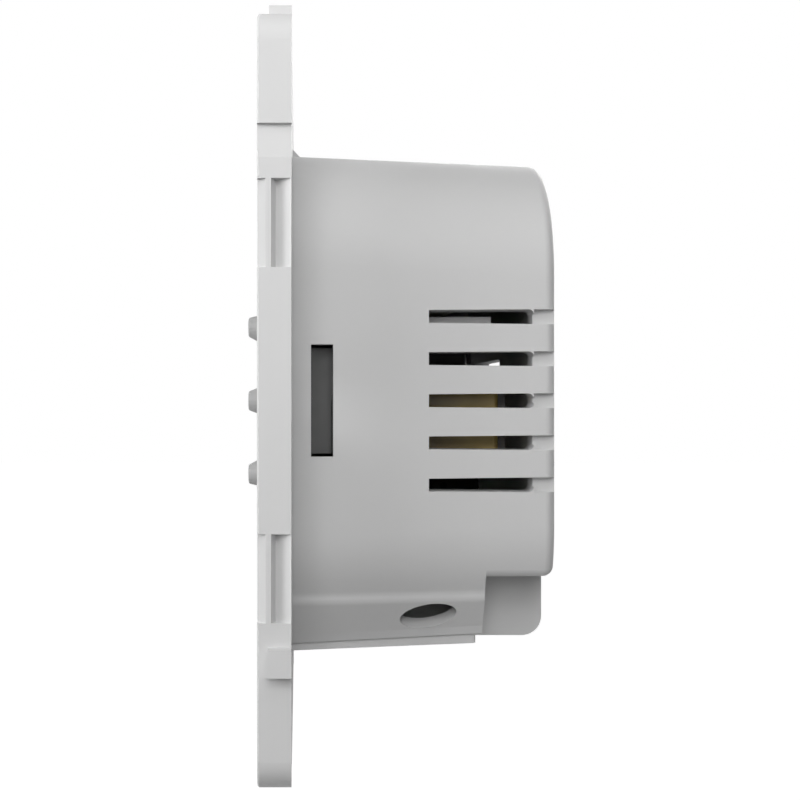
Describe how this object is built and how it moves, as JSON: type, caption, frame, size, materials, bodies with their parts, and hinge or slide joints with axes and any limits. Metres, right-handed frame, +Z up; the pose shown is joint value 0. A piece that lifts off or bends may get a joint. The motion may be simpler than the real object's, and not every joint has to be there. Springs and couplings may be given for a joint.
{
  "type": "wall thermostat",
  "caption": "Flush wall thermostat insert: square carrier plate with push buttons and display, slotted rear housing for a wall box, and screw terminals at the lower rear.",
  "frame": {"origin": "middle of the carrier plate on the wall plane, the plate's rear face", "axes": "+Z up, front faces -Y, +Y goes into the wall box, +X to the right of someone facing the front"},
  "size_m": [0.0736, 0.0306, 0.0736],
  "materials": {
    "grey_plastic": "matt light grey moulded plastic",
    "button_plastic": "matt grey moulded plastic",
    "dark_plastic": "matt dark moulded plastic",
    "switch_plastic": "black moulded plastic",
    "window_glass": "clear polished window",
    "display_glass": "dark polished display",
    "ribbon_film": "amber film",
    "board": "green coated board",
    "shield": "tinned sheet",
    "sensor_bead": "black resin bead",
    "plated_pins": "tinned brass",
    "relay_case": "black case",
    "ferrite": "dark ferrite",
    "coil_tape": "yellow brown tape",
    "film_case": "grey resin case",
    "can_sleeve": "black shrink sleeve",
    "disc_coating": "blue resin coat",
    "fuse_body": "brown resin",
    "zinc_screw": "zinc plated steel",
    "clamp_steel": "nickel plated steel"
  },
  "bodies": {
    "insert": {"board_header": "dark_plastic", "board_screws": "zinc_screw", "bracket_screws": "zinc_screw", "control_board": "board", "control_chip": "dark_plastic", "cover_screws": "zinc_screw", "display_bracket": "dark_plastic", "display_module": "display_glass", "display_ribbon": "ribbon_film", "display_window": "window_glass", "electrolytic_capacitor": "can_sleeve", "film_capacitor": "film_case", "fuse": "fuse_body", "header_pins": "plated_pins", "mounting_plate": "grey_plastic", "power_board": "board", "radio_module": "shield", "rear_housing": "grey_plastic", "relay": "relay_case", "room_sensor": "sensor_bead", "side_socket": "dark_plastic", "switch_bodies": "switch_plastic", "terminal_block": "grey_plastic", "terminal_contacts": "plated_pins", "transformer_bobbin": "dark_plastic", "transformer_coil": "coil_tape", "transformer_core": "ferrite", "varistor": "disc_coating"},
    "up_key": {"button_up": "button_plastic", "plunger_up": "switch_plastic"},
    "ok_key": {"button_ok": "button_plastic", "plunger_ok": "switch_plastic"},
    "down_key": {"button_down": "button_plastic", "plunger_down": "switch_plastic"},
    "screw_1": {"terminal_screw_1": "zinc_screw"},
    "clamp_1": {"terminal_clamp_1": "clamp_steel"},
    "screw_2": {"terminal_screw_2": "zinc_screw"},
    "clamp_2": {"terminal_clamp_2": "clamp_steel"},
    "screw_3": {"terminal_screw_3": "zinc_screw"},
    "clamp_3": {"terminal_clamp_3": "clamp_steel"},
    "screw_4": {"terminal_screw_4": "zinc_screw"},
    "clamp_4": {"terminal_clamp_4": "clamp_steel"},
    "screw_5": {"terminal_screw_5": "zinc_screw"},
    "clamp_5": {"terminal_clamp_5": "clamp_steel"},
    "screw_6": {"terminal_screw_6": "zinc_screw"},
    "clamp_6": {"terminal_clamp_6": "clamp_steel"}
  },
  "joints": [
    {"name": "up_press", "type": "slide", "parent": "insert", "child": "up_key", "axis": [0, 1, 0], "range_m": [0, 0.0004], "stiffness_N_per_m": 1000},
    {"name": "ok_press", "type": "slide", "parent": "insert", "child": "ok_key", "axis": [0, 1, 0], "range_m": [0, 0.0004], "stiffness_N_per_m": 1000},
    {"name": "down_press", "type": "slide", "parent": "insert", "child": "down_key", "axis": [0, 1, 0], "range_m": [0, 0.0004], "stiffness_N_per_m": 1000},
    {"name": "screw_1_turn", "type": "hinge", "parent": "insert", "child": "screw_1", "pos_m": [-0.0125, 0.02405, -0.0209], "axis": [0, -1, 0], "range_deg": [0, 920]},
    {"name": "clamp_1_rise", "type": "slide", "parent": "insert", "child": "clamp_1", "axis": [0, 1, 0], "range_m": [0, 0.00115]},
    {"name": "screw_2_turn", "type": "hinge", "parent": "insert", "child": "screw_2", "pos_m": [-0.0075, 0.02405, -0.0209], "axis": [0, -1, 0], "range_deg": [0, 920]},
    {"name": "clamp_2_rise", "type": "slide", "parent": "insert", "child": "clamp_2", "axis": [0, 1, 0], "range_m": [0, 0.00115]},
    {"name": "screw_3_turn", "type": "hinge", "parent": "insert", "child": "screw_3", "pos_m": [-0.0025, 0.02405, -0.0209], "axis": [0, -1, 0], "range_deg": [0, 920]},
    {"name": "clamp_3_rise", "type": "slide", "parent": "insert", "child": "clamp_3", "axis": [0, 1, 0], "range_m": [0, 0.00115]},
    {"name": "screw_4_turn", "type": "hinge", "parent": "insert", "child": "screw_4", "pos_m": [0.0025, 0.02405, -0.0209], "axis": [0, -1, 0], "range_deg": [0, 920]},
    {"name": "clamp_4_rise", "type": "slide", "parent": "insert", "child": "clamp_4", "axis": [0, 1, 0], "range_m": [0, 0.00115]},
    {"name": "screw_5_turn", "type": "hinge", "parent": "insert", "child": "screw_5", "pos_m": [0.0075, 0.02405, -0.0209], "axis": [0, -1, 0], "range_deg": [0, 920]},
    {"name": "clamp_5_rise", "type": "slide", "parent": "insert", "child": "clamp_5", "axis": [0, 1, 0], "range_m": [0, 0.00115]},
    {"name": "screw_6_turn", "type": "hinge", "parent": "insert", "child": "screw_6", "pos_m": [0.0125, 0.02405, -0.0209], "axis": [0, -1, 0], "range_deg": [0, 920]},
    {"name": "clamp_6_rise", "type": "slide", "parent": "insert", "child": "clamp_6", "axis": [0, 1, 0], "range_m": [0, 0.00115]}
  ],
  "couplings": [
    {"joint": "screw_1_turn", "follows": "clamp_1_rise", "rad_per_m": 13963},
    {"joint": "screw_2_turn", "follows": "clamp_2_rise", "rad_per_m": 13963},
    {"joint": "screw_3_turn", "follows": "clamp_3_rise", "rad_per_m": 13963},
    {"joint": "screw_4_turn", "follows": "clamp_4_rise", "rad_per_m": 13963},
    {"joint": "screw_5_turn", "follows": "clamp_5_rise", "rad_per_m": 13963},
    {"joint": "screw_6_turn", "follows": "clamp_6_rise", "rad_per_m": 13963}
  ]
}
